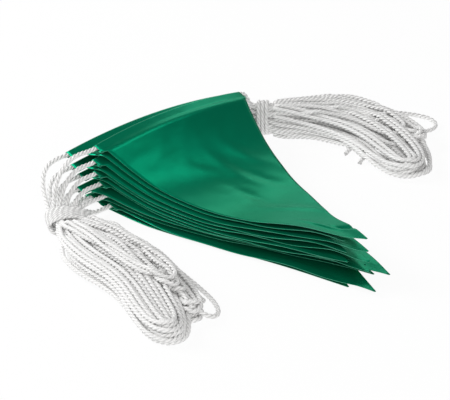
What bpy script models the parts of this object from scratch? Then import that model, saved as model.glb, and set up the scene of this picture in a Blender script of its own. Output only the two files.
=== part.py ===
# Packed flag bunting: triangular film flags stacked on one rope, with the rope
# between the flags gathered into a tied hank at each end of the stack.
# The headings run along X, the tips point to -Y, and the stack lies on z = 0.
import math

import bmesh
import bpy
from mathutils import Vector

MM = 0.001

# Flags
FLAG_WIDTH = 200 * MM
FLAG_DROP = 300 * MM
FILM = 1.0 * MM
TIP_WIDTH = 1.6 * MM
TIP_LINE = 0.987
FLAG_COLUMNS = 6
GAP = 0.3 * MM

# Rope and the hem round it
ROPE = 4.6 * MM
ROPE_SIDES_LEVEL = 2
HEM_RADIUS = ROPE / 2 + GAP + FILM / 2
HEM_NECK = 9 * MM
FLAP_END = 11 * MM
FLAP_STEP = (FILM + GAP) / 2
FLOOR_HEM_LIFT = 3.9 * MM
FLOOR_HEM_REACH = 21 * MM

# One row for each flag, from the bottom: the middle of its heading (x, y), how far the
# heading is turned, where its tip lies along X, how far its tip is lifted (mm, degrees),
# and which pair of the left neck its rope joins, from the inside.
FLAG_FIELDS = ("x", "y", "turn", "tip_x", "tip_lift", "left_pair")
FLAGS = (
    (-6, 93, -0.3, -24, 0.0, 1),
    (-2, 65, 2.0, -16, 0.0, 0),
    (-9, 84, 1.0, 1, 0.6, 0),
    (-1, 68, 1.0, 6, 0.8, 1),
    (-19, 92, 0.5, -2, 0.3, 2),
    (-4, 75, 0.5, -14, 0.6, 2),
    (-11, 97, -0.5, -22, 0.4, 3),
    (-6, 80, 0.5, -10, 0.2, 3),
    (-14, 103, -1.5, -18, 0.5, 4),
    (-4, 84, 0.5, -8, 0.4, 4),
    (-10, 112, -3.5, -12, 0.2, 5),
    (3, 90, 1.0, -4, 0.6, 5),
)

# Height of the top flag over the floor, from the heading to the tip. Each lower flag
# takes its share of it, so that the stack is thick at the hems and loose at the tips.
PROFILE_FIELDS = ("part", "left", "right")
PROFILE = (
    (-0.12, 50, 46),
    (-0.03, 58, 52),
    (0.02, 58, 51.5),
    (0.07, 54, 47),
    (0.13, 47, 40),
    (0.22, 36, 30),
    (0.33, 28, 24),
    (0.45, 23, 22),
    (0.57, 26, 24),
    (0.70, 32, 30),
    (0.82, 39, 36),
    (0.92, 43, 42),
    (1.0, 46, 46),
)
ARCH = 9 * MM
ARCH_REACH = 0.35
EDGE_WAVE = 1.5 * MM
WAVE_COUNT = 2.5
ROW_LINES = (84, 71, 56, 40, 16, -14, -48, -84, -118, -148, -172, -192, -208)
ROW_CLEAR = (16.5, 8)
FRONT_LINE = (65, 25)
SPINE_X = (-4, -8)
SPINE_Y = (80, -215)
HEM_STEPS = 6

# Ties: the middle of each neck, the way the bundle runs through it, and its size
TIE_FIELDS = ("x", "y", "z", "heading", "width", "height", "wraps", "length")
TIES = {
    "left": (-158, 54, 13, -118, 36, 14, 5, 15),
    "right": (127, 79, 18.5, -42, 14, 33, 3, 11.5),
}
WRAP_STEPS = 24
WRAP_CLEAR = 0.5 * MM
WRAP_ANGLES = (30, 90, 150)
WRAP_HALF = 0.48
WRAP_BASE = 0.35
WRAP_CREST = 0.55
SLOT = 5.6 * MM
NECK_STRAIGHT = 3 * MM
FAN_SWING = 0.40
FAN_GROWTH = 0.006
FAN_STAGGER = -0.11
RIGHT_SWING = 0.3
FAN_STEPS = (7, 5)
HEM_LEAD = 3 * MM
LEFT_CLEAR_X = -118 * MM
PAIRS = len(FLAGS) // 2

# Hanks: one row for each station along the bundle, in mm
HANK_FIELDS = ("x", "y", "z", "width", "height")
LEFT_HANK = (
    (-163.6, 43.4, 13, 38, 21),
    (-168, 24, 13.5, 48, 27),
    (-172, 0, 15, 60, 31),
    (-173, -28, 16, 72, 33),
    (-175, -60, 16, 76, 33),
    (-183, -96, 14.5, 80, 30),
    (-193, -126, 12.5, 78, 26),
    (-203, -150, 10, 66, 21),
    (-212, -167, 7.5, 46, 16),
    (-217, -178, 5, 20, 10),
)
LEFT_LOBE = (
    (-165, -96, 12, 26, 20),
    (-160, -122, 10.5, 32, 19),
    (-163, -146, 8.5, 34, 17),
    (-174, -164, 6.5, 28, 13),
    (-184, -176, 5, 14, 9),
)
RIGHT_HANK = (
    (134.5, 72, 17, 22, 33),
    (148, 63, 15.5, 40, 30),
    (163, 52, 14, 54, 28),
    (180, 33, 13, 66, 27),
    (192, 9, 12, 74, 25),
    (197, -18, 11, 80, 23),
    (195, -46, 9.5, 84, 20),
    (186, -72, 8.5, 72, 18),
    (177, -91, 7, 50, 15),
    (170, -102, 5, 22, 10),
)
RIGHT_LOBE = (
    (184, 58, 12, 34, 22),
    (208, 42, 10.5, 40, 20),
    (226, 18, 9, 42, 18),
    (236, -8, 7.5, 40, 15),
    (238, -34, 6, 34, 12),
    (232, -56, 4.5, 22, 9),
)
SECTION_STEPS = 30
LOBES = 10
LOBE_DEPTH = 0.055
LOBE_TWIST = 0.5

# Points of the loose loops and ends: x, y, z in mm
LEFT_OPEN_LOOP = (
    (-150, -96, 12),
    (-143, -116, 9),
    (-139, -134, 6),
    (-140, -150, 4),
    (-147, -162, 2.6),
    (-158, -166, 2.6),
    (-167, -161, 4),
    (-170, -148, 7),
)
RIGHT_OPEN_LOOP = (
    (226, 30, 8),
    (246, 18, 6),
    (262, 5, 4),
    (275, -12, 2.6),
    (280, -28, 2.6),
    (276, -39, 2.6),
    (263, -43, 2.6),
    (249, -40, 3),
    (238, -34, 5),
)
ROPE_ENDS = (
    ((172, -12, 5), (165, -13, 3.4), (157, -16, 2.6)),
    ((170, -36, 5), (162, -35, 3.4), (154, -40, 2.6)),
)

# Where the middle of the whole bunting lies: it is moved from here to the origin
MIDDLE = (25.0, -54.7)

# Colours: name, base colour, roughness
FILM_FINISH = ("green_film", (0.0, 0.235, 0.105, 1.0), 0.22)
ROPE_FINISH = ("white_rope", (0.80, 0.80, 0.79, 1.0), 0.62)


def row_of(fields, values):
    return dict(zip(fields, values))


def finish_of(name, colour, roughness):
    made = bpy.data.materials.get(name) or bpy.data.materials.new(name)
    made.use_nodes = True
    shader = made.node_tree.nodes["Principled BSDF"]
    shader.inputs["Base Color"].default_value = colour
    shader.inputs["Roughness"].default_value = roughness
    shader.inputs["Metallic"].default_value = 0.0
    return made


def ease(low, high, value):
    share = min(max((value - low) / (high - low), 0.0), 1.0)
    return share * share * (3 - 2 * share)


def profile_height(part, side):
    """Height in mm of the top flag at a part of the drop, side -1 left to 1 right."""
    rows = [row_of(PROFILE_FIELDS, values) for values in PROFILE]
    part = min(max(part, rows[0]["part"]), rows[-1]["part"])
    index = max(n for n, row in enumerate(rows[:-1]) if row["part"] <= part)
    near = [rows[min(max(index + n, 0), len(rows) - 1)] for n in (-1, 0, 1, 2)]
    span = near[2]["part"] - near[1]["part"]
    t = (part - near[1]["part"]) / span
    heights = []
    for name in ("left", "right"):
        before, start, end, after = (row[name] for row in near)
        slope_in = (end - before) / max(near[2]["part"] - near[0]["part"], span) * span
        slope_out = (after - start) / max(near[3]["part"] - near[1]["part"], span) * span
        heights.append(
            start * (1 + 2 * t) * (1 - t) ** 2
            + slope_in * t * (1 - t) ** 2
            + end * t * t * (3 - 2 * t)
            + slope_out * t * t * (t - 1)
        )
    return heights[0] + (heights[1] - heights[0]) * (side + 1) / 2


def layer_height(number, x, y):
    """Height of the middle of flag number's film over the floor, at x, y."""
    share = number / (len(FLAGS) - 1)
    part = ((FRONT_LINE[0] + FRONT_LINE[1] * share) * MM - y) / FLAG_DROP
    down = (SPINE_Y[0] * MM - y) / ((SPINE_Y[0] - SPINE_Y[1]) * MM)
    spine = (SPINE_X[0] + (SPINE_X[1] - SPINE_X[0]) * down) * MM
    half = FLAG_WIDTH / 2 * min(max(1 - down, 0.15), 1.0)
    side = min(max((x - spine) / half, -1.1), 1.1)
    top = profile_height(part, side) * MM
    top += ARCH * (1 - side * side) * (1 - ease(0.0, ARCH_REACH, part))
    wave = EDGE_WAVE * math.sin(2 * math.pi * WAVE_COUNT * part + 2.0 * side + 0.35 * number)
    wave *= ease(0.35, 0.9, part) * share
    return FILM / 2 + share * (top - FILM / 2) + wave


def place_of(number, side, line=None, back=0.0):
    """Point of flag number's film, side -1 to 1 across: on its heading, back by so much,
    or where the film reaches a line along X."""
    flag = row_of(FLAG_FIELDS, FLAGS[number])
    turn = math.radians(flag["turn"])
    along = Vector((math.cos(turn), math.sin(turn), 0))
    behind = Vector((-math.sin(turn), math.cos(turn), 0))
    middle = Vector((flag["x"], flag["y"], 0)) * MM
    tip = Vector((flag["tip_x"] * MM, middle.y - TIP_LINE * FLAG_DROP, 0))
    heading = middle + along * side * FLAG_WIDTH / 2
    tip += Vector((side * TIP_WIDTH / 2, 0, 0))
    part = 0.0 if line is None else (heading.y - line) / (heading.y - tip.y)
    place = heading.lerp(tip, part)
    height = layer_height(number, place.x, place.y)
    if number == 0:
        height += FLOOR_HEM_LIFT * (1 - ease(FLAP_END, FLOOR_HEM_REACH, heading.y - place.y))
    height += flag["tip_lift"] * MM * ease(0.6, 1.0, part)
    return Vector((place.x, place.y, height)) + behind * back


def hem_path():
    """Cross-section of the hem as offsets (back, up) from the rope's middle: the flap's
    end, the flap, round the rope, and the start of the flag."""
    lean = math.asin(HEM_RADIUS / HEM_NECK)
    path = [(-FLAP_END, -FLAP_STEP), (-HEM_NECK * 0.8, -FLAP_STEP * 1.6)]
    first = -math.pi / 2 - lean
    last = math.pi / 2 + lean
    for step in range(HEM_STEPS + 1):
        angle = first + (last - first) * step / HEM_STEPS
        path.append((HEM_RADIUS * math.cos(angle), HEM_RADIUS * math.sin(angle)))
    path.append((-HEM_NECK * 0.8, FLAP_STEP * 1.6))
    path.append((-FLAP_END, FLAP_STEP))
    return path


def body_lines(number):
    """Lines along X where flag number has a row of points; the flags share all but the last."""
    y = row_of(FLAG_FIELDS, FLAGS[number])["y"]
    tip = y - TIP_LINE * FLAG_DROP / MM
    lines = [line for line in ROW_LINES if tip + ROW_CLEAR[1] <= line <= y - ROW_CLEAR[0]]
    return [*lines, tip]


def add_flag(number):
    """One flag: a triangle of film whose heading is folded round the rope and welded."""
    hem = hem_path()
    lines = body_lines(number)
    rows = len(hem) + len(lines)
    drop = 0.0 if number % 2 else -FLAP_STEP
    shape = bmesh.new()
    bmesh.ops.create_grid(shape, x_segments=FLAG_COLUMNS, y_segments=rows - 1, size=1.0)
    shape.verts.ensure_lookup_table()
    for vertex in shape.verts:
        side = round(vertex.co.x, 6)
        row = round((vertex.co.y + 1) / 2 * (rows - 1))
        if row < len(hem):
            back, up = hem[row]
            vertex.co = place_of(number, side, back=back) + Vector((0, 0, up + drop))
        else:
            vertex.co = place_of(number, side, lines[row - len(hem)] * MM)
    mesh = bpy.data.meshes.new(f"flag_{number + 1:02d}")
    bmesh.ops.recalc_face_normals(shape, faces=shape.faces)
    shape.to_mesh(mesh)
    shape.free()
    mesh.shade_smooth()
    flag = bpy.data.objects.new(mesh.name, mesh)
    bpy.context.collection.objects.link(flag)
    film = flag.modifiers.new("film", "SOLIDIFY")
    film.thickness = FILM
    film.offset = 0.0
    film.use_even_offset = True
    mesh.materials.append(finish_of(*FILM_FINISH))
    return flag


def tube(name, route, diameter):
    """A closed tube along a route, as a mesh."""
    curve = bpy.data.curves.new(name, "CURVE")
    curve.dimensions = "3D"
    curve.bevel_depth = diameter / 2
    curve.bevel_resolution = ROPE_SIDES_LEVEL
    curve.use_fill_caps = True
    spline = curve.splines.new("POLY")
    spline.points.add(len(route) - 1)
    for point, place in zip(spline.points, route):
        point.co = (*place, 1.0)
    spline.use_smooth = True
    rope = bpy.data.objects.new(name, curve)
    bpy.context.collection.objects.link(rope)
    curve.materials.append(finish_of(*ROPE_FINISH))
    return rope


def bend(start, leave, arrive, end, steps):
    """Points of a Bezier curve from start to end, both left out."""
    points = []
    for step in range(1, steps):
        t = step / steps
        points.append(
            start * (1 - t) ** 3
            + leave * 3 * t * (1 - t) ** 2
            + arrive * 3 * t * t * (1 - t)
            + end * t**3
        )
    return points


def tie_frame(side):
    """Middle of a tie, the bundle's way through it, and its outer side."""
    tie = row_of(TIE_FIELDS, TIES[side])
    angle = math.radians(tie["heading"])
    middle = Vector((tie["x"], tie["y"], tie["z"])) * MM
    way = Vector((math.cos(angle), math.sin(angle), 0))
    outer = Vector((0, 0, 1)).cross(way)
    if side == "left":
        outer = -outer
    return tie, middle, way, outer


def slot_place(number, side):
    """Where the rope of flag number enters the neck: the top flags lie outermost."""
    tie, middle, way, outer = tie_frame(side)
    mouth = middle - way * (tie["length"] / 2 * MM + GAP)
    pair, front = divmod(number, 2)
    if side == "left":
        pair = row_of(FLAG_FIELDS, FLAGS[number])["left_pair"]
    along = (pair - (PAIRS - 1) / 2) * SLOT
    beside = (front - 0.5) * SLOT
    across, up = (along, beside) if side == "left" else (-beside, along)
    return mouth + outer * across + Vector((0, 0, up)), way


def rope_route(number):
    """The rope of one flag from the left neck through its hem to the right neck."""
    sides = [-1 + 2 * step / FLAG_COLUMNS for step in range(FLAG_COLUMNS + 1)]
    drop = Vector((0, 0, 0.0 if number % 2 else -FLAP_STEP))
    hem = [place_of(number, side) + drop for side in sides]
    along = (hem[-1] - hem[0]).normalized()
    left_slot, left_way = slot_place(number, "left")
    right_slot, right_way = slot_place(number, "right")
    left_clear = hem[0] - along * max(hem[0].x - LEFT_CLEAR_X, HEM_LEAD)
    right_clear = hem[-1] + along * HEM_LEAD
    left_mouth = left_slot - left_way * NECK_STRAIGHT
    right_mouth = right_slot - right_way * NECK_STRAIGHT
    reach = (left_clear - left_mouth).length
    swing = reach * (FAN_SWING + FAN_GROWTH * number + FAN_STAGGER * (number % 2))
    left_lead = left_mouth - left_way * swing
    left = bend(left_mouth, left_lead, left_clear - along * swing, left_clear, FAN_STEPS[0])
    swing = (right_mouth - right_clear).length * RIGHT_SWING
    right_lead = right_mouth - right_way * swing
    right = bend(right_clear, right_clear + along * swing, right_lead, right_mouth, FAN_STEPS[1])
    fan_left = [left_slot, left_mouth, *left, left_clear]
    return [*fan_left, *hem, right_clear, *right, right_mouth, right_slot]


def loft(name, stations, lobes=LOBES):
    """A closed fluted bundle through the stations, flat where it meets the floor."""
    rows = [row_of(HANK_FIELDS, values) for values in stations]
    centres = [Vector((row["x"], row["y"], row["z"])) * MM for row in rows]
    shape = bmesh.new()
    rings = []
    for index, row in enumerate(rows):
        ahead = centres[min(index + 1, len(rows) - 1)]
        behind = centres[max(index - 1, 0)]
        way = (ahead - behind).normalized()
        across = way.cross(Vector((0, 0, 1))).normalized()
        ring = []
        for step in range(SECTION_STEPS):
            angle = 2 * math.pi * step / SECTION_STEPS
            flute = 1 - LOBE_DEPTH + LOBE_DEPTH * math.cos(lobes * angle + LOBE_TWIST * index)
            out = math.cos(angle) * row["width"] / 2 * flute * MM
            up = math.sin(angle) * row["height"] / 2 * flute * MM
            place = centres[index] + across * out + Vector((0, 0, up))
            place.z = max(place.z, 0.0)
            ring.append(shape.verts.new(place))
        rings.append(ring)
    for first, second in zip(rings, rings[1:]):
        for step in range(SECTION_STEPS):
            after = (step + 1) % SECTION_STEPS
            shape.faces.new((first[step], first[after], second[after], second[step]))
    shape.faces.new(rings[0])
    shape.faces.new(list(reversed(rings[-1])))
    bmesh.ops.recalc_face_normals(shape, faces=shape.faces)
    mesh = bpy.data.meshes.new(name)
    shape.to_mesh(mesh)
    shape.free()
    mesh.shade_smooth()
    bundle = bpy.data.objects.new(name, mesh)
    bpy.context.collection.objects.link(bundle)
    mesh.materials.append(finish_of(*ROPE_FINISH))
    return bundle


def join(body, helper):
    """Joins a helper shape to a body, and keeps the helper out of the result."""
    union = body.modifiers.new(f"with {helper.name}", "BOOLEAN")
    union.operation = "UNION"
    union.object = helper
    helper.hide_render = True
    helper.display_type = "WIRE"


def mesh_of(curve_object):
    """The same object with its curve turned into a mesh, as a Boolean needs."""
    graph = bpy.context.evaluated_depsgraph_get()
    mesh = bpy.data.meshes.new_from_object(curve_object.evaluated_get(graph))
    made = bpy.data.objects.new(curve_object.name + "_mesh", mesh)
    bpy.context.collection.objects.link(made)
    bpy.data.objects.remove(curve_object)
    shape = bmesh.new()
    shape.from_mesh(mesh)
    bmesh.ops.remove_doubles(shape, verts=shape.verts, dist=1e-6)
    bmesh.ops.recalc_face_normals(shape, faces=shape.faces)
    shape.to_mesh(mesh)
    shape.free()
    return made


def smooth_route(points, steps):
    """A Catmull-Rom curve through the points."""
    places = [Vector(point) * MM for point in points]
    ends = [places[0] * 2 - places[1], *places, places[-1] * 2 - places[-2]]
    route = []
    for index in range(1, len(ends) - 2):
        p0, p1, p2, p3 = ends[index - 1 : index + 3]
        for step in range(steps):
            t = step / steps
            square = p0 * 2 - p1 * 5 + p2 * 4 - p3
            cube = p1 * 3 - p0 - p2 * 3 + p3
            route.append((p1 * 2 + (p2 - p0) * t + square * t**2 + cube * t**3) / 2)
    route.append(places[-1])
    return route


def add_hank(side, stations, lobe, loop, ends):
    """The hank of one side: its main bundle, a second lobe, an open loop and loose ends."""
    tie, middle, way, outer = tie_frame(side)
    half = way * tie["length"] / 2
    neck = [(*(middle / MM + end), tie["width"], tie["height"]) for end in (-half, half)]
    hank = loft(f"hank_{side}", (*neck, *stations))
    join(hank, loft(f"lobe_{side}", lobe, lobes=6))
    join(hank, mesh_of(tube(f"loop_{side}", smooth_route(loop, 2), ROPE)))
    for index, end in enumerate(ends):
        join(hank, mesh_of(tube(f"end_{side}_{index}", smooth_route(end, 2), ROPE)))
    return hank


def add_tie(side):
    """The wraps of rope round a neck, as one ridged band."""
    tie, middle, way, outer = tie_frame(side)
    wrap = tie["length"] * MM / tie["wraps"]
    half = tie["length"] / 2 * MM
    profile = [(-half, 0.0), (half, 0.0)]
    for index in range(tie["wraps"], 0, -1):
        centre = wrap * (index - 0.5) - half
        for angle in WRAP_ANGLES:
            lean = math.radians(angle)
            forward = centre + wrap * WRAP_HALF * math.cos(lean)
            profile.append((forward, wrap * (WRAP_BASE + WRAP_CREST * math.sin(lean))))
    shape = bmesh.new()
    rings = []
    for step in range(WRAP_STEPS):
        angle = 2 * math.pi * step / WRAP_STEPS
        across = math.cos(angle) * tie["width"] / 2 * MM
        up = math.sin(angle) * tie["height"] / 2 * MM
        outwards = outer * math.cos(angle) + Vector((0, 0, math.sin(angle)))
        ring = []
        for forward, rise in profile:
            place = middle + way * forward + outer * across + Vector((0, 0, up))
            place += outwards * (WRAP_CLEAR + rise)
            place.z = max(place.z, 0.0)
            ring.append(shape.verts.new(place))
        rings.append(ring)
    count = len(profile)
    for step in range(WRAP_STEPS):
        first, second = rings[step], rings[(step + 1) % WRAP_STEPS]
        for index in range(count):
            after = (index + 1) % count
            shape.faces.new((first[index], first[after], second[after], second[index]))
    bmesh.ops.recalc_face_normals(shape, faces=shape.faces)
    mesh = bpy.data.meshes.new(f"tie_{side}")
    shape.to_mesh(mesh)
    shape.free()
    mesh.shade_smooth()
    band = bpy.data.objects.new(mesh.name, mesh)
    bpy.context.collection.objects.link(band)
    mesh.materials.append(finish_of(*ROPE_FINISH))
    return band


def clear_scene():
    for item in list(bpy.data.objects):
        bpy.data.objects.remove(item)


def centre_all():
    """Puts everything on one empty, whose place brings the bunting's middle to the origin."""
    parts = list(bpy.data.objects)
    centre = bpy.data.objects.new("bunting", None)
    bpy.context.collection.objects.link(centre)
    for item in parts:
        item.parent = centre
    centre.location = (-MIDDLE[0] * MM, -MIDDLE[1] * MM, 0.0)


def build():
    clear_scene()
    for number in range(len(FLAGS)):
        add_flag(number)
        tube(f"rope_{number + 1:02d}", rope_route(number), ROPE)
    add_hank("left", LEFT_HANK, LEFT_LOBE, LEFT_OPEN_LOOP, ())
    add_hank("right", RIGHT_HANK, RIGHT_LOBE, RIGHT_OPEN_LOOP, ROPE_ENDS)
    for side in TIES:
        add_tie(side)
    centre_all()


build()
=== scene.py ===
import math

import bmesh
import bpy
import numpy as np
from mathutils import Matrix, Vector


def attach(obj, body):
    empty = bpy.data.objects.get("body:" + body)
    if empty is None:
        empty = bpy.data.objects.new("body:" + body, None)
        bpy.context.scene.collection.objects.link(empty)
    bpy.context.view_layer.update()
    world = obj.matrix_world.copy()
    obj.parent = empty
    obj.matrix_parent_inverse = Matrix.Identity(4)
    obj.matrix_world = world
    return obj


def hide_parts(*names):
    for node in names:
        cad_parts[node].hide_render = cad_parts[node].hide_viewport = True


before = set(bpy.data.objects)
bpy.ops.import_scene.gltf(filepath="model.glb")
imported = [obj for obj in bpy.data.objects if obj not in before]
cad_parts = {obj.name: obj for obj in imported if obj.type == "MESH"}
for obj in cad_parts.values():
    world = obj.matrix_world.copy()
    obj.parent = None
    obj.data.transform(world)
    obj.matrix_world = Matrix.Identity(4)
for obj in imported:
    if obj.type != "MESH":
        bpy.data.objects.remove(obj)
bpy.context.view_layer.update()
mm = 0.001
middle = Vector((25.0, -54.7, 0.0))  # the tables below are in mm from here


def spot(x, y, z=0.0):
    return (Vector((x, y, z)) - middle) * mm


# camera at the photograph's angle

cameraSet = {"azimuth": -42.0, "elevation": 30.0, "distance": 2.3, "width": 0.459, "target": (0, 0, 0)}


def makeCamera(s):
    a, e = math.radians(s["azimuth"]), math.radians(s["elevation"])
    back = Vector((math.sin(a) * math.cos(e), -math.cos(a) * math.cos(e), math.sin(e)))
    data = bpy.data.cameras.new("camera")
    data.sensor_width = 36.0
    data.lens = 36.0 * s["distance"] / s["width"]
    data.clip_end = 30.0
    camera = bpy.data.objects.new("camera", data)
    bpy.context.scene.collection.objects.link(camera)
    camera.location = spot(*s["target"]) + back * s["distance"]
    camera.rotation_euler = (-back).to_track_quat("-Z", "Y").to_euler()
    bpy.context.scene.camera = camera


makeCamera(cameraSet)


# small helpers for materials

class Sock:
    # one socket; sums, products and powers of it add Math nodes
    def __init__(self, nodes, socket):
        self.nodes = nodes
        self.socket = socket

    def maths(self, operation, *others):
        return self.nodes.add("ShaderNodeMath", {"operation": operation}, dict(enumerate((self, *others))))

    def __add__(self, other):
        return self.maths("ADD", other)

    __radd__ = __add__

    def __mul__(self, other):
        return self.maths("MULTIPLY", other)

    __rmul__ = __mul__

    def __pow__(self, other):
        return self.maths("POWER", other)


class Nodes:
    # the nodes of a material or of the world
    def __init__(self, owner):
        owner.use_nodes = True
        self.tree = owner.node_tree

    def add(self, kind, settings=None, inputs=None, output=0):
        node = self.tree.nodes.new(kind)
        for key, value in (settings or {}).items():
            if key == "stops":
                for n, (at, colour) in enumerate(value):
                    stop = node.color_ramp.elements[n] if n < 2 else node.color_ramp.elements.new(at)
                    stop.position = at
                    stop.color = colour
            else:
                setattr(node, key, value)
        for key, value in (inputs or {}).items():
            if isinstance(value, Sock):
                self.tree.links.new(value.socket, node.inputs[key])
            else:
                node.inputs[key].default_value = value
        return Sock(self, node.outputs[output])


class Mat(Nodes):
    # a material on the Principled shader
    def __init__(self, name, fixed):
        self.data = bpy.data.materials.new(name)
        super().__init__(self.data)
        self.shader = self.tree.nodes["Principled BSDF"]
        for key, value in fixed.items():
            self.shader.inputs[key].default_value = value

    def mix(self, share, first, second):
        # in a colour Mix node the factor is input 0 and the colours are 6 and 7
        return self.add("ShaderNodeMix", {"data_type": "RGBA"}, {0: share, 6: first, 7: second}, output=2)

    def noise(self, where, scale, detail=3.0, rough=0.55):
        inputs = {"Vector": where, "Scale": scale, "Detail": detail, "Roughness": rough}
        return self.add("ShaderNodeTexNoise", {}, inputs)

    def bump(self, height, distance, strength):
        return self.add("ShaderNodeBump", {}, {"Height": height, "Distance": distance, "Strength": strength})

    def feed(self, **links):
        for key, value in links.items():
            self.tree.links.new(value.socket, self.shader.inputs[key.replace("_", " ")])


# floor, light and background

lightSet = {
    "floorHalf": 6.0, "floorDrop": 0.0005, "floorGlow": 0.93, "floorColour": (0.93, 0.93, 0.93, 1),
    "world": 1.0,
    "lamps": (
        # name, place in m, aim in m, width, height, power, colour
        ("key", (-1.05, 1.55, 1.25), (0, 0, 0), 1.0, 1.0, 33, (1.0, 1.0, 1.0)),
        ("overhead", (0.95, 0.25, 2.0), (0, 0, 0), 0.7, 0.7, 5, (1.0, 1.0, 1.0)),
        ("back", (1.52, 1.47, 1.13), (0, 0, 0), 0.7, 0.6, 3, (1.0, 1.0, 1.0)),
        ("front", (-1.4, -1.6, 1.3), (0, 0, 0), 1.2, 1.2, 29, (1.0, 0.99, 0.98)),
        ("low", (1.4, 2.5, 0.42), (0, 0, 0.05), 3.0, 0.3, 2.5, (1.0, 1.0, 1.0)),
    ),
    # how bright the studio is, by the height of the direction: a backdrop, a dim band and a ceiling
    "sky": ((0.0, 0.5), (0.34, 0.55), (0.50, 0.20), (0.78, 0.10), (0.95, 0.5)),
}


def makeFloor(s):
    bm = bmesh.new()
    bmesh.ops.create_grid(bm, x_segments=2, y_segments=2, size=s["floorHalf"])
    bmesh.ops.translate(bm, verts=bm.verts, vec=(0, 0, -s["floorDrop"]))
    mesh = bpy.data.meshes.new("floor")
    bm.to_mesh(mesh)
    bm.free()
    floor = bpy.data.objects.new("floor", mesh)
    bpy.context.scene.collection.objects.link(floor)
    mat = bpy.data.materials.new("pale_floor")
    pale = Nodes(mat)
    pale.tree.nodes.remove(pale.tree.nodes["Principled BSDF"])
    matte = pale.add("ShaderNodeBsdfDiffuse", {}, {"Color": s["floorColour"]})
    glow = pale.add("ShaderNodeEmission", {}, {"Strength": 1.0})
    both = pale.add("ShaderNodeMixShader", {}, {0: s["floorGlow"], 1: matte, 2: glow})
    pale.tree.links.new(both.socket, pale.tree.nodes["Material Output"].inputs["Surface"])
    mesh.materials.append(mat)


def makeLamps(s):
    for name, place, aim, width, height, power, colour in s["lamps"]:
        data = bpy.data.lights.new(name, "AREA")
        data.shape = "RECTANGLE"
        data.size, data.size_y = width, height
        data.energy = power
        data.color = colour
        lamp = bpy.data.objects.new(name, data)
        bpy.context.scene.collection.objects.link(lamp)
        lamp.location = place
        lamp.rotation_euler = (Vector(aim) - Vector(place)).to_track_quat("-Z", "Y").to_euler()


def makeWorld(s):
    world = bpy.data.worlds.new("studio")
    bpy.context.scene.world = world
    sky = Nodes(world)
    up = sky.add("ShaderNodeSeparateXYZ", {}, {0: sky.add("ShaderNodeTexCoord")}, output=2)
    stops = [(at, (grey, grey, grey, 1)) for at, grey in s["sky"]]
    shade = sky.add("ShaderNodeValToRGB", {"stops": stops}, {0: up})
    backdrop = sky.tree.nodes["Background"]
    backdrop.inputs["Strength"].default_value = s["world"]
    sky.tree.links.new(shade.socket, backdrop.inputs["Color"])


makeFloor(lightSet)
makeLamps(lightSet)
makeWorld(lightSet)
bpy.context.scene.view_settings.view_transform = "Standard"
print("camera, floor and lights")


# materials

def makeFilmMat():
    # part metallic and tinted, so that its sheen stays green
    mat = Mat("green_film", {
        "Roughness": 0.31, "IOR": 1.25, "Specular Tint": (0.05, 1.0, 0.75, 1), "Metallic": 0.6,
    })
    where = mat.add("ShaderNodeTexCoord", output=3)
    cloudy = mat.noise(where, 9.0, 2.0)
    waves = mat.noise(where, 24.0, 2.0, 0.5)
    mat.feed(
        Base_Color=mat.mix(cloudy, (0.0, 0.17, 0.075, 1), (0.0, 0.22, 0.12, 1)),
        Normal=mat.bump(waves, 0.0016, 0.6),
    )
    return mat.data


def makeEdgeHighlightMat():
    # the cut edge of the film: its own green, mottled at random with a lighter green that is a painted
    # highlight, where the edge would catch the light
    mat = Mat("film_edge_painted_highlight", {"Roughness": 0.35})
    where = mat.add("ShaderNodeTexCoord", output=3)
    mat.feed(Base_Color=mat.mix(mat.noise(where, 60.0), (0.01, 0.22, 0.12, 1), (0.10, 0.45, 0.30, 1)))
    return mat.data


def makeRopeMat():
    mat = Mat("white_rope", {"Roughness": 0.5, "Specular IOR Level": 0.5, "Sheen Weight": 0.15})
    uv = mat.add("ShaderNodeUVMap", {"uv_map": "rope"})
    where = mat.add("ShaderNodeTexCoord", output=3)
    around = mat.add("ShaderNodeSeparateXYZ", {}, {0: uv}, output=1)
    # 0 in the grooves between the strands, 1 on their crests; shade is painted into the grooves as a dark
    # grey
    crestVsGrooveShade = (around * (3 * math.pi)).maths("SINE").maths("ABSOLUTE")
    fibres = mat.add("ShaderNodeMapping", {}, {"Vector": uv, "Scale": (900.0, 36.0, 1.0)})
    hair = mat.noise(fibres, 1.0, 3.0, 0.6)
    patch = mat.noise(where, 30.0, 3.0)
    # painted shade: dark grey in the grooves between the strands, near white on the crests
    shade = mat.mix(crestVsGrooveShade ** 0.5, (0.48, 0.48, 0.48, 1), (0.91, 0.91, 0.905, 1))
    mat.feed(
        Base_Color=mat.mix(patch * 0.3, shade, (0.62, 0.61, 0.60, 1)),
        Roughness=0.42 + hair * 0.2,
        Normal=mat.bump(hair, 0.0003, 0.8),
    )
    return mat.data


filmMat = makeFilmMat()
edgeHighlightMat = makeEdgeHighlightMat()
ropeMat = makeRopeMat()


# flags: triangles of film, each with its heading folded round the rope

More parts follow.
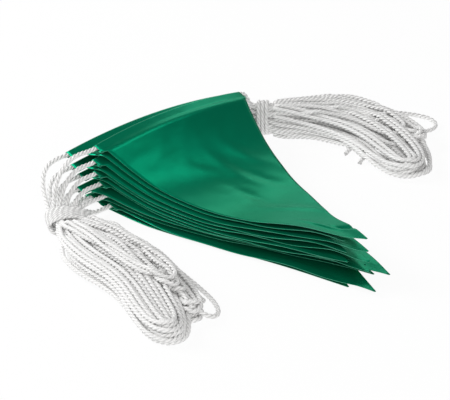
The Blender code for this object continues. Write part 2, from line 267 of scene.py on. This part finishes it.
flagSet = {
    "width": 200.0, "drop": 300.0, "film": 0.4, "tipWidth": 1.6, "tipLine": 0.987,
    "columns": 44, "rows": 76, "lowest": 0.5,
    # the hem: a loop round the rope, then the weld, then the end of the flap
    "hemRadius": 2.75, "hemArc": 12, "hemNeck": 9.0, "weld": (0.8, 1.6), "flapEnd": 11.0, "flapStep": 0.65,
    "stepFade": 0.08, "stepShare": 0.9,
    # where the stack starts and ends, and how it is crowned
    "frontLine": (65, 25), "spineX": (-4, -8), "spineY": (80, -215), "leastHalf": 0.15, "sideReach": 1.1,
    "floorLift": 3.9, "floorReach": 21.0, "arch": 9.0, "archReach": 0.35, "liftFrom": 0.6,
    # the left edges of the lower flags bow outwards
    "bow": 10.0, "bowSpan": (0.3, 0.85), "bowFrom": -0.2,
    # long waves of the upper layers, and the flutter of each layer in the room that it has
    "wave": {"height": 1.5, "count": 2.5, "twist": 2.0, "step": 0.35, "span": (0.35, 0.9)},
    "flutter": {"share": 0.3, "pace": 20.0, "twist": 1.5, "step": 2.4, "span": (0.3, 0.6)},
    "foldSpan": (0.05, 0.2),
    "flags": (
        # x, y and turn of the heading, the tip's x and lift, pair in the left neck; from the bottom
        (-6, 93, -0.3, -24, 0.0, 1),
        (-2, 65, 2.0, -16, 0.0, 0),
        (-9, 84, 1.0, 1, 0.6, 0),
        (-1, 68, 1.0, 6, 0.8, 1),
        (-19, 92, 0.5, -2, 0.3, 2),
        (-4, 75, 0.5, -14, 0.6, 2),
        (-11, 97, -0.5, -22, 0.4, 3),
        (-6, 80, 0.5, -10, 0.2, 3),
        (-14, 103, -1.5, -18, 0.5, 4),
        (-4, 84, 0.5, -8, 0.4, 4),
        (-10, 112, -3.5, -12, 0.2, 5),
        (3, 90, 1.0, -4, 0.6, 5),
    ),
    "profile": (
        # part of the drop, height of the top flag at its left and right edges
        (-0.12, 49, 45), (-0.04, 56, 50.5), (0.0, 57.8, 52), (0.04, 60.4, 54), (0.075, 56, 48.5),
        (0.13, 47.5, 40.5), (0.22, 36, 30), (0.33, 29, 24), (0.45, 26, 22), (0.57, 30, 24), (0.70, 36, 30),
        (0.82, 42, 36), (0.92, 45, 42), (1.0, 46, 46),
    ),
    "folds": (
        # soft ridges of the upper flags: x, y, way in degrees, length, width, height
        (-20, 20, -35, 60, 16, 0.8),
        (30, -20, -70, 50, 14, -0.9),
        (46, 10, -60, 60, 16, 0.9),
        (14, 0, -75, 60, 15, 0.8),
        (-2, -40, -80, 50, 13, -0.8),
        (8, -95, -50, 70, 12, 0.9),
        (-6, -150, -75, 40, 7, 2.0),
        (4, -168, -68, 34, 5, -2.2),
    ),
}


def ease(low, high, value):
    share = min(max((value - low) / (high - low), 0.0), 1.0)
    return share * share * (3 - 2 * share)


def topHeight(s, part, side):
    # the top flag's height, by smooth curves through the profile of its left and right edges
    rows = s["profile"]
    part = min(max(part, rows[0][0]), rows[-1][0])
    index = max(n for n, row in enumerate(rows[:-1]) if row[0] <= part)
    near = [rows[min(max(index + n, 0), len(rows) - 1)] for n in (-1, 0, 1, 2)]
    span = near[2][0] - near[1][0]
    t = (part - near[1][0]) / span
    found = []
    for k in (1, 2):
        before, start, end, after = (row[k] for row in near)
        slopeIn = (end - before) / max(near[2][0] - near[0][0], span) * span
        slopeOut = (after - start) / max(near[3][0] - near[1][0], span) * span
        found.append(start * (1 + 2 * t) * (1 - t) ** 2 + slopeIn * t * (1 - t) ** 2
                     + end * t * t * (3 - 2 * t) + slopeOut * t * t * (t - 1))
    return found[0] + (found[1] - found[0]) * (side + 1) / 2


def foldHeight(s, x, y):
    # the soft ridges, added up
    total = 0.0
    for fx, fy, way, length, width, height in s["folds"]:
        a = math.radians(way)
        along = (x - fx) * math.cos(a) + (y - fy) * math.sin(a)
        across = -(x - fx) * math.sin(a) + (y - fy) * math.cos(a)
        total += height * math.exp(-(along / length * 2) ** 2 - (across / width * 2) ** 2)
    return total


def layerHeight(s, number, x, y):
    # each layer lies at its share of the top flag's height
    share = number / (len(s["flags"]) - 1)
    part = (s["frontLine"][0] + s["frontLine"][1] * share - y) / s["drop"]
    down = (s["spineY"][0] - y) / (s["spineY"][0] - s["spineY"][1])
    spine = s["spineX"][0] + (s["spineX"][1] - s["spineX"][0]) * down
    half = s["width"] / 2 * min(max(1 - down, s["leastHalf"]), 1.0)
    side = min(max((x - spine) / half, -s["sideReach"]), s["sideReach"])
    top = topHeight(s, part, side) + s["arch"] * (1 - side * side) * (1 - ease(0.0, s["archReach"], part))
    wave, flutter = s["wave"], s["flutter"]
    turn = 2 * math.pi * wave["count"] * part + wave["twist"] * side + wave["step"] * number
    swell = wave["height"] * math.sin(turn) * ease(*wave["span"], part) * share
    if number:
        gap = (top - s["lowest"]) / (len(s["flags"]) - 1)
        turn = flutter["pace"] * part + flutter["step"] * number + flutter["twist"] * side
        swell += flutter["share"] * gap * math.sin(turn) * ease(*flutter["span"], part) * side * side
    swell += foldHeight(s, x, y) * share * ease(*s["foldSpan"], part)
    return s["lowest"] + share * (top - s["lowest"]) + swell


def filmPlace(s, number, side, part=0.0, back=0.0):
    # a place on a flag: side goes from -1 at its left edge to 1, part from 0 at the heading to 1 at the tip
    x, y, turn, tipX, lift, _ = s["flags"][number]
    a = math.radians(turn)
    heading = Vector((x + math.cos(a) * side * s["width"] / 2, y + math.sin(a) * side * s["width"] / 2, 0))
    tip = Vector((tipX + side * s["tipWidth"] / 2, y - s["tipLine"] * s["drop"], 0))
    place = heading.lerp(tip, part)
    low = 1 - number / (len(s["flags"]) - 1)
    rise, fall = s["bowSpan"]
    bow = ease(0.0, rise, part) * (1 - ease(rise, fall, part)) * ease(s["bowFrom"], 1.0, -side)
    place.x -= s["bow"] * low * bow
    height = layerHeight(s, number, place.x, place.y)
    if number == 0:
        height += s["floorLift"] * (1 - ease(s["flapEnd"], s["floorReach"], heading.y - place.y))
    height += lift * ease(s["liftFrom"], 1.0, part)
    return Vector((place.x - math.sin(a) * back, place.y + math.cos(a) * back, height))


def hemDrop(s, number):
    # the hems of every other flag lie a little lower
    return 0.0 if number % 2 else -s["flapStep"]


def hemPath(s):
    # back and up from the rope's middle: the flap, round the rope, and the start of the flag
    lean = math.asin(s["hemRadius"] / s["hemNeck"])
    step = s["flapStep"]
    weldBack, weldUp = s["hemNeck"] * s["weld"][0], step * s["weld"][1]
    path = [(-s["flapEnd"], -step), (-weldBack, -weldUp)]
    for n in range(s["hemArc"] + 1):
        angle = -math.pi / 2 - lean + (math.pi + 2 * lean) * n / s["hemArc"]
        path.append((s["hemRadius"] * math.cos(angle), s["hemRadius"] * math.sin(angle)))
    return path + [(-weldBack, weldUp), (-s["flapEnd"], step)]


def makeFlag(s, number):
    hem = hemPath(s)
    first = s["flapEnd"] / (s["tipLine"] * s["drop"])
    rows = len(hem) + s["rows"]
    drop = hemDrop(s, number)
    bm = bmesh.new()
    bmesh.ops.create_grid(bm, x_segments=s["columns"], y_segments=rows - 1, size=1.0)
    for v in bm.verts:
        side, row = round(v.co.x, 6), round((v.co.y + 1) / 2 * (rows - 1))
        if row < len(hem):
            back, up = hem[row]
            place = filmPlace(s, number, side, back=back) + Vector((0, 0, up + drop))
        else:
            part = (row - len(hem) + 1) / s["rows"]
            place = filmPlace(s, number, side, first + (1 - first) * part)
            place.z += s["flapStep"] * (1 - ease(0.0, s["stepFade"], part)) * s["stepShare"]
        v.co = (place - middle) * mm
    bmesh.ops.recalc_face_normals(bm, faces=bm.faces)
    mesh = bpy.data.meshes.new(f"film_{number + 1:02d}")
    bm.to_mesh(mesh)
    bm.free()
    mesh.shade_smooth()
    mesh.materials.append(filmMat)
    # the rim of the solidified film gets the edge material with its painted highlight
    mesh.materials.append(edgeHighlightMat)
    flag = bpy.data.objects.new(mesh.name, mesh)
    bpy.context.scene.collection.objects.link(flag)
    wall = flag.modifiers.new("wall", "SOLIDIFY")
    wall.thickness = s["film"] * mm
    wall.offset = 0.0
    wall.material_offset_rim = 1
    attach(flag, "root")
    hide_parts(f"flag_{number + 1:02d}")


for number in range(len(flagSet["flags"])):
    makeFlag(flagSet, number)
print("flags")


# rope: three strands laid together, as a swept trefoil that turns along its way

ropeSet = {
    "diameter": 5.0, "lay": 15.0, "steps": 8,  # a strand goes round once in 15 mm, in 8 steps
    "strand": 1.22, "offset": 1.13, "groove": 1.285, "points": (-72, -25, 25, 72),
    "curveSpots": 8, "pathStep": 3.0, "merge": 2e-6, "routeTurn": 1.7, "runTurn": 0.9,
}


def makeProfile(s):
    # cross-section of the three strands
    data = bpy.data.curves.new("strands", "CURVE")
    data.dimensions = "2D"
    spline = data.splines.new("POLY")
    places = []
    for n in range(3):
        turn = 2 * math.pi * n / 3
        centre = Vector((math.cos(turn), math.sin(turn))) * s["offset"]
        for lean in s["points"]:
            a = turn + math.radians(lean)
            places.append(centre + Vector((math.cos(a), math.sin(a))) * s["strand"])
        groove = turn + math.pi / 3
        places.append(Vector((math.cos(groove), math.sin(groove))) * s["groove"])
    spline.points.add(len(places) - 1)
    for point, place in zip(spline.points, places):
        point.co = (place.x * mm, place.y * mm, 0, 1)
    spline.use_cyclic_u = True
    shape = bpy.data.objects.new("strands", data)
    bpy.context.scene.collection.objects.link(shape)
    return shape


def respaced(points, step):
    # a Catmull-Rom curve through the points, sampled at even steps
    p = np.array(points, float)
    ends = np.vstack([2 * p[0] - p[1], p, 2 * p[-1] - p[-2]])
    t = np.linspace(0, 1, ropeSet["curveSpots"] + 1)[:-1, None]
    parts = []
    for i in range(1, len(ends) - 2):
        a, b, c, d = ends[i - 1 : i + 3]
        square, cube = 2 * a - 5 * b + 4 * c - d, 3 * b - a - 3 * c + d
        parts.append(0.5 * (2 * b + (c - a) * t + square * t**2 + cube * t**3))
    fine = np.vstack([*parts, p[-1:]])
    along = np.concatenate([[0], np.cumsum(np.linalg.norm(np.diff(fine, axis=0), axis=1))])
    at = np.linspace(0, along[-1], max(3, round(along[-1] / step) + 1))
    return np.stack([np.interp(at, along, fine[:, k]) for k in range(3)], axis=1)


def makeRope(name, routes, s, profile, shift=0.0):
    # routes are in mm; one closed twisted tube for each, in one mesh
    step = s["lay"] / s["steps"]
    data = bpy.data.curves.new(name, "CURVE")
    data.dimensions = "3D"
    data.bevel_mode = "OBJECT"
    data.bevel_object = profile
    data.use_fill_caps = True
    for n, route in enumerate(routes):
        places = respaced(route, step)
        spline = data.splines.new("POLY")
        spline.points.add(len(places) - 1)
        for k, (point, place) in enumerate(zip(spline.points, places)):
            point.co = (*(Vector(place) - middle) * mm, 1)
            point.tilt = -2 * math.pi * k / s["steps"] + s["routeTurn"] * n + shift
            point.radius = s["diameter"] / 2 / (s["offset"] + s["strand"])
        spline.use_smooth = True
    rope = bpy.data.objects.new(name + "_way", data)
    bpy.context.scene.collection.objects.link(rope)
    graph = bpy.context.evaluated_depsgraph_get()
    mesh = bpy.data.meshes.new_from_object(rope.evaluated_get(graph))
    bpy.data.objects.remove(rope)
    bpy.data.curves.remove(data)
    mesh.name = name
    mesh.uv_layers[0].name = "rope"
    bm = bmesh.new()
    bm.from_mesh(mesh)
    bmesh.ops.remove_doubles(bm, verts=bm.verts, dist=s["merge"])
    bmesh.ops.recalc_face_normals(bm, faces=bm.faces)
    bm.to_mesh(mesh)
    bm.free()
    mesh.shade_smooth()
    mesh.materials.clear()
    mesh.materials.append(ropeMat)
    made = bpy.data.objects.new(name, mesh)
    bpy.context.scene.collection.objects.link(made)
    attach(made, "root")
    return made


profile = makeProfile(ropeSet)


# rope runs from the left neck through each hem to the right neck

neckSet = {
    # middle of the neck, way through it in degrees, width and height of the bundle, length
    "left": {"middle": (-158, 54, 13), "heading": -118, "width": 36, "height": 14, "length": 15},
    "right": {"middle": (127, 79, 18.5), "heading": -42, "width": 14, "height": 33, "length": 11.5},
}
runSet = {
    "slot": 5.6, "pairs": 6, "straight": 3.0, "rightSwing": 0.3,
    # how far each run swings out on its way to the left neck
    "swings": (0.40, 0.30, 0.42, 0.31, 0.48, 0.33, 0.55, 0.38, 0.60, 0.41, 0.48, 0.44),
    "fanSteps": (7, 5), "lead": 3.0, "clearX": -118.0, "gap": 0.3, "hemSpots": 6, "apart": 2.7, "into": 7.0,
}


def neckFrame(side):
    # the neck's table, its middle, the way through it and the way to its outer side
    neck = neckSet[side]
    a = math.radians(neck["heading"])
    way = Vector((math.cos(a), math.sin(a), 0))
    outer = Vector((0, 0, 1)).cross(way)
    return neck, Vector(neck["middle"]), way, -outer if side == "left" else outer


def slotPlace(s, number, side):
    # where a run enters a neck: they lie in pairs, one above or beside the other
    neck, centre, way, outer = neckFrame(side)
    mouth = centre - way * (neck["length"] / 2 + s["gap"])
    pair, front = divmod(number, 2)
    if side == "left":
        pair = flagSet["flags"][number][5]
    along, beside = (pair - (s["pairs"] - 1) / 2) * s["slot"], (front - 0.5) * s["slot"]
    across, up = (along + (0.5 - front) * s["apart"], beside) if side == "left" else (-beside, along)
    return mouth + outer * across + Vector((0, 0, up)), way


def bend(start, leave, arrive, end, steps):
    # a Bezier curve between two straights, without its ends
    return [start * (1 - t) ** 3 + leave * 3 * t * (1 - t) ** 2 + arrive * 3 * t * t * (1 - t) + end * t**3
            for t in (n / steps for n in range(1, steps))]


def runRoute(s, number):
    drop = Vector((0, 0, hemDrop(flagSet, number)))
    hem = [filmPlace(flagSet, number, -1 + 2 * n / s["hemSpots"]) + drop for n in range(s["hemSpots"] + 1)]
    along = (hem[-1] - hem[0]).normalized()
    leftSlot, leftWay = slotPlace(s, number, "left")
    rightSlot, rightWay = slotPlace(s, number, "right")
    leftClear = hem[0] - along * max(hem[0].x - s["clearX"], s["lead"])
    rightClear = hem[-1] + along * s["lead"]
    leftMouth = leftSlot - leftWay * s["straight"]
    rightMouth = rightSlot - rightWay * s["straight"]
    leftSteps, rightSteps = s["fanSteps"]
    swing = (leftClear - leftMouth).length * s["swings"][number]
    left = bend(leftMouth, leftMouth - leftWay * swing, leftClear - along * swing, leftClear, leftSteps)
    swing = (rightMouth - rightClear).length * s["rightSwing"]
    right = bend(rightClear, rightClear + along * swing, rightMouth - rightWay * swing, rightMouth,
                 rightSteps)
    start = [leftSlot + leftWay * s["into"], leftSlot, leftMouth, *left, leftClear]
    end = [rightClear, *right, rightMouth, rightSlot, rightSlot + rightWay * s["into"]]
    return [*start, *hem, *end]


for number in range(len(flagSet["flags"])):
    route = runRoute(runSet, number)
    run = makeRope(f"rope_run_{number + 1:02d}", [route], ropeSet, profile, shift=ropeSet["runTurn"] * number)
    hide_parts(f"rope_{number + 1:02d}")
print("rope runs")


# hanks: loops of rope from the neck to the end lobes, moved apart and laid on the floor

leftHank = {
    "side": "left", "seed": 3, "pieces": 2, "deep": (0.12, 0.2), "neck": 6, "pressed": 0.93, "fall": 0.02,
    "groups": (
        # the main lobe, the second lobe and the shorter loops on top
        # reach is how far along the way the loops turn, from the first loop to the last
        # out and back say where a loop's two legs lie across the bundle, and up the layer that they lie in
        # the way has x, y and z of the bundle's middle, then its width and height
        {"loops": 15, "reach": (0.8, 0.93), "out": (-0.9, -0.1), "back": (0.95, 0.15),
         "up": (-0.8, 0.0, 0.8),
         "way": ((-158, 54, 13, 34, 12), (-165, 43, 12, 36, 14), (-172, 24, 13, 46, 20),
                 (-178, 0, 15, 54, 28), (-181, -28, 16, 56, 30), (-181, -60, 17, 46, 30),
                 (-188, -96, 16, 45, 28), (-199, -126, 13, 50, 24), (-206, -148, 10, 46, 20),
                 (-208, -162, 8, 38, 16), (-210, -178, 6, 26, 12))},
        {"loops": 7, "reach": (0.82, 0.93), "out": (-0.9, -0.1), "back": (0.9, 0.15),
         "up": (-0.7, 0.6),
         "way": ((-158, 54, 13, 34, 12), (-165, 43, 12, 32, 14), (-165, 24, 14, 38, 20),
                 (-160, 0, 18, 42, 28), (-158, -28, 18, 42, 28), (-157, -60, 17, 40, 26),
                 (-160, -96, 14, 38, 22), (-163, -120, 11, 36, 18), (-169, -138, 9, 30, 14),
                 (-176, -154, 7, 26, 12), (-182, -168, 5, 20, 10))},
        {"loops": 7, "reach": (0.62, 0.9), "out": (-0.9, -0.7), "back": (0.7, 0.1),
         "up": (0.2, 0.9),
         "way": ((-158, 54, 13, 34, 12), (-164, 43, 13, 36, 14), (-167, 24, 17, 44, 16),
                 (-169, 0, 22, 50, 18), (-170, -28, 24, 50, 18), (-171, -60, 24, 48, 16),
                 (-174, -88, 23, 44, 14), (-175, -108, 21, 40, 12), (-173, -124, 18, 36, 10),
                 (-168, -140, 15, 30, 10))},
    ),
    "loose": (
        ((-158, 54, 18), (-152, 24, 22), (-144, -30, 22), (-139, -70, 18), (-138, -106, 10),
         (-137, -130, 5), (-140, -147, 4), (-144.5, -157, 2.6), (-155, -166, 2.6), (-166, -162, 3),
         (-172, -148, 6), (-178, -120, 12), (-178, -60, 15), (-172, 0, 12), (-162, 54, 12)),
        ((-158, 54, 16), (-150, 20, 20), (-146, -30, 20), (-144, -70, 16), (-144, -100, 9),
         (-147, -126, 6), (-151, -140, 5), (-158, -148, 6), (-168, -140, 10), (-174, -110, 14),
         (-172, -60, 16), (-166, 0, 14), (-160, 54, 14)),
    ),
}

rightHank = {
    "side": "right", "seed": 11, "pieces": 2, "deep": (0.0, 0.0), "neck": 4, "pressed": 0.93, "fall": 0.01,
    "groups": (
        {"loops": 14, "reach": (0.82, 0.94), "out": (-0.95, -0.1), "back": (0.95, 0.15),
         "up": (-0.8, 0.0, 0.85),
         "way": ((127, 79, 18.5, 12, 30), (134.5, 72, 18, 20, 32), (148, 63, 17, 36, 29),
                 (163, 52, 16, 48, 28), (180, 33, 15, 56, 28), (190, 9, 14.5, 60, 28),
                 (194, -18, 14, 62, 27), (192, -46, 12, 66, 24), (186, -72, 9.5, 62, 20),
                 (179, -90, 7, 48, 16), (172, -106, 5, 30, 12))},
        {"loops": 9, "reach": (0.84, 0.94), "out": (-0.95, -0.1), "back": (0.9, 0.15),
         "up": (-0.7, 0.7),
         "way": ((127, 79, 18.5, 12, 30), (134.5, 72, 18.5, 20, 32), (150, 66, 18, 34, 28),
                 (168, 58, 18, 40, 27), (190, 44, 18, 42, 28), (210, 28, 16, 42, 25),
                 (222, 8, 14, 42, 22), (228, -14, 12, 42, 20), (229, -36, 10, 40, 18),
                 (225, -56, 8, 34, 14), (217, -76, 6, 22, 12))},
        {"loops": 5, "reach": (0.62, 0.92), "out": (-0.9, -0.3), "back": (0.2, 0.9),
         "up": (0.0, 0.9),
         "way": ((127, 79, 18.5, 12, 30), (134.5, 72, 19, 20, 32), (150, 64, 22, 34, 20),
                 (170, 52, 24, 44, 12), (190, 36, 25, 48, 10), (206, 14, 22, 50, 10),
                 (214, -12, 18, 50, 10), (212, -38, 15, 46, 10), (204, -60, 11, 34, 10))},
    ),
    "loose": (
        ((128, 78, 30), (150, 68, 32), (176, 58, 28), (202, 42, 22), (224, 26, 16), (244, 12, 11),
         (262, -1, 8), (276, -12, 6), (284, -26, 4), (281, -37, 2.6), (266, -44, 2.6), (250, -40, 4),
         (234, -30, 8), (216, -6, 14), (196, 26, 18), (168, 50, 18), (128, 78, 16)),
    ),
    "ends": (
        ((128, 76, 10), (146, 58, 9), (160, 38, 7), (170, 14, 5), (176, -4, 4), (172, -12, 4),
         (165, -13, 3), (157, -16, 2.5)),
        ((128, 76, 8), (150, 48, 6), (166, 18, 5), (176, -10, 4), (177, -28, 4), (170, -36, 4),
         (162, -36, 3), (154, -40, 2.5)),
    ),
}


loopSet = {
    "spots": 26, "turnSpots": (0.15, 0.3, 0.5, 0.7, 0.85), "besideDraw": 0.14, "riseDraw": 0.2,
    "weave": 0.12, "weavePace": 5, "weaveStep": 2.1, "shoulder": 0.8, "grow": (0.03, 0.12), "upper": 0.5,
}


def stationAt(way, share):
    # the bundle's middle and size at a share of its way, the way ahead there and the way across
    way = np.array(way, float)
    at = share * (len(way) - 1)
    low = int(min(max(math.floor(at), 0), len(way) - 2))
    here = way[low] + (way[low + 1] - way[low]) * (at - low)
    ahead = way[min(low + 1, len(way) - 1)][:3] - way[low][:3]
    ahead /= np.linalg.norm(ahead)
    across = np.cross(ahead, (0, 0, 1.0))
    return here, ahead, across / np.linalg.norm(across)


def loopRoute(s, group, n, deep, rng):
    # out along one side of the bundle, round at the end, and back along the other
    share = n / max(group["loops"] - 1, 1)
    reach, out, back = (group[k][0] + (group[k][1] - group[k][0]) * share for k in ("reach", "out", "back"))
    up = group["up"][n % len(group["up"])]
    # the neck holds only the upper loops; the others come out of the middle of the bundle beyond it
    start = 0.0 if up > s["upper"] else rng.uniform(*deep)
    legs = []
    for leg, side in enumerate((out, back)):
        side += rng.uniform(-s["besideDraw"], s["besideDraw"])
        rise = up + rng.uniform(-s["riseDraw"], s["riseDraw"])
        spots = []
        for along in np.linspace(start, reach, s["spots"]):
            here, ahead, across = stationAt(group["way"], along)
            grown = ease(start - s["grow"][0], start + s["grow"][1], along) if start else 1.0
            weave = s["weave"] * math.sin(s["weavePace"] * along + s["weaveStep"] * n + leg)
            beside = (side + weave) * grown
            level = rise * grown * math.sqrt(max(1 - min(abs(beside), 1.0) ** 2 * s["shoulder"], 0))
            spots.append(here[:3] + across * beside * here[3] / 2 + np.array((0, 0, level * here[4] / 2)))
        legs.append(spots)
    first, last = legs[0][-1], legs[1][-1]
    bulge = np.linalg.norm(first - last) * 0.5
    turn = [first + ahead * bulge * math.sin(math.pi * t) + (last - first) * (1 - math.cos(math.pi * t)) / 2
            for t in s["turnSpots"]]
    return np.array([*legs[0], *turn, *reversed(legs[1])])


settleSet = {
    "spacing": 3.6, "rounds": 200,
    "renew": 8, "batch": 500, "near": 1.7, "own": 3,  # which points are tested against each other
    "home": 0.012, "smooth": 0.22, "pushes": 2, "push": 0.25, "pull": 0.25,
}


def nearPairs(s, p, chain, order, diameter):
    # points of different ropes, or well apart on one rope, that lie near each other
    found = []
    square = (p * p).sum(axis=1)
    for a in range(0, len(p), s["batch"]):
        gap = square[a : a + s["batch"], None] + square - 2 * p[a : a + s["batch"]] @ p.T
        i, j = np.nonzero(gap < (diameter * s["near"]) ** 2)
        i = i + a
        keep = (i < j) & ((chain[i] != chain[j]) | (np.abs(order[i] - order[j]) > s["own"]))
        found.append(np.stack([i[keep], j[keep]]))
    return np.hstack(found)


def settle(s, routes, hank):
    # moves the points of all the ropes apart, keeps each rope's length and smoothness, and lays them down
    diameter = ropeSet["diameter"] * hank["pressed"]
    chains = [respaced(route, s["spacing"]) for route in routes]
    sizes = [len(c) for c in chains]
    start = np.cumsum([0, *sizes])
    p = np.vstack(chains)
    home = p.copy()
    chain = np.repeat(np.arange(len(chains)), sizes)
    order = np.concatenate([np.arange(n) for n in sizes])
    free = np.ones(len(p))
    for a, b in zip(start, start[1:]):
        free[a : a + hank["neck"]] = 0
        free[b - hank["neck"] : b] = 0
    link = np.array([i for i in range(len(p) - 1) if chain[i] == chain[i + 1]])
    inner = np.array([i for i in range(1, len(p) - 1) if chain[i - 1] == chain[i + 1]])
    for turn in range(s["rounds"]):
        if turn % s["renew"] == 0:
            i, j = nearPairs(s, p, chain, order, diameter)
        late = turn / s["rounds"]
        p[:, 2] -= hank["fall"] * free * (1 - late)
        p += (home - p) * s["home"] * (1 - late) * free[:, None]
        p[inner] += ((p[inner - 1] + p[inner + 1]) / 2 - p[inner]) * s["smooth"] * free[inner, None]
        for again in range(s["pushes"]):
            d = p[j] - p[i]
            far = np.linalg.norm(d, axis=1)
            move = d * (np.maximum(diameter - far, 0) / np.maximum(far, 1e-6) * s["push"])[:, None]
            for k in range(3):
                step = np.bincount(j, move[:, k], len(p)) - np.bincount(i, move[:, k], len(p))
                p[:, k] += step * free
        d = p[link + 1] - p[link]
        far = np.linalg.norm(d, axis=1)
        pull = d * ((far - s["spacing"]) / np.maximum(far, 1e-6) * s["pull"])[:, None]
        for k in range(3):
            step = np.bincount(link, pull[:, k], len(p)) - np.bincount(link + 1, pull[:, k], len(p))
            p[:, k] += step * free
        p[:, 2] = np.maximum(p[:, 2], diameter / 2)
    return [p[a:b] for a, b in zip(start, start[1:])]


def makeHank(s):
    rng = np.random.default_rng(s["seed"])
    routes = [loopRoute(loopSet, g, n, s["deep"], rng) for g in s["groups"] for n in range(g["loops"])]
    routes += [np.array(r, float) for r in s["loose"]]
    count = len(routes)
    routes += [np.array(r, float) for r in s.get("ends", ())]
    laid = settle(settleSet, routes, s)
    for n in range(s["pieces"]):
        hank = makeRope(f"hank_of_rope_{s['side']}_{n + 1}", laid[n : count : s["pieces"]], ropeSet, profile)
        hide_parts(f"hank_{s['side']}")
    for n, line in enumerate(laid[count:]):
        end = makeRope(f"rope_end_{s['side']}_{n + 1}", [line], ropeSet, profile)
    print(s["side"], "hank:", len(laid), "ropes")


makeHank(leftHank)
makeHank(rightHank)


# ties: turns of rope round each neck

wrapSet = {
    "left": {"turns": 6, "steps": 24, "diameter": 4.4, "spread": (12.0, 8.5), "clear": 3.6, "lean": -5.0},
    "right": {"turns": 3, "steps": 24, "diameter": 4.7, "spread": (7.0, 6.2), "clear": 2.6, "lean": 1.5},
}


def makeTie(side, s):
    # one rope wound round the bundle; the turns spread at the outer side and close up at the inner one
    neck, centre, way, outer = neckFrame(side)
    route = []
    for n in range(s["turns"] * s["steps"] + 1):
        a = 2 * math.pi * n / s["steps"]
        turn = n / s["steps"] / s["turns"] - 0.5
        c, u = math.cos(a), math.sin(a)
        spread = s["spread"][1] + (s["spread"][0] - s["spread"][1]) * (c + 1) / 2
        place = centre + way * (turn * 2 * spread + s["lean"] * c)
        place += outer * c * (neck["width"] / 2 + s["clear"])
        place += Vector((0, 0, u * (neck["height"] / 2 + s["clear"])))
        place.z = max(place.z, s["diameter"] / 2)
        route.append(place)
    tie = makeRope(f"tie_of_rope_{side}", [route], {**ropeSet, "diameter": s["diameter"]}, profile)
    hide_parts(f"tie_{side}")


for side in wrapSet:
    makeTie(side, wrapSet[side])
bpy.data.objects.remove(profile)
print("ties")
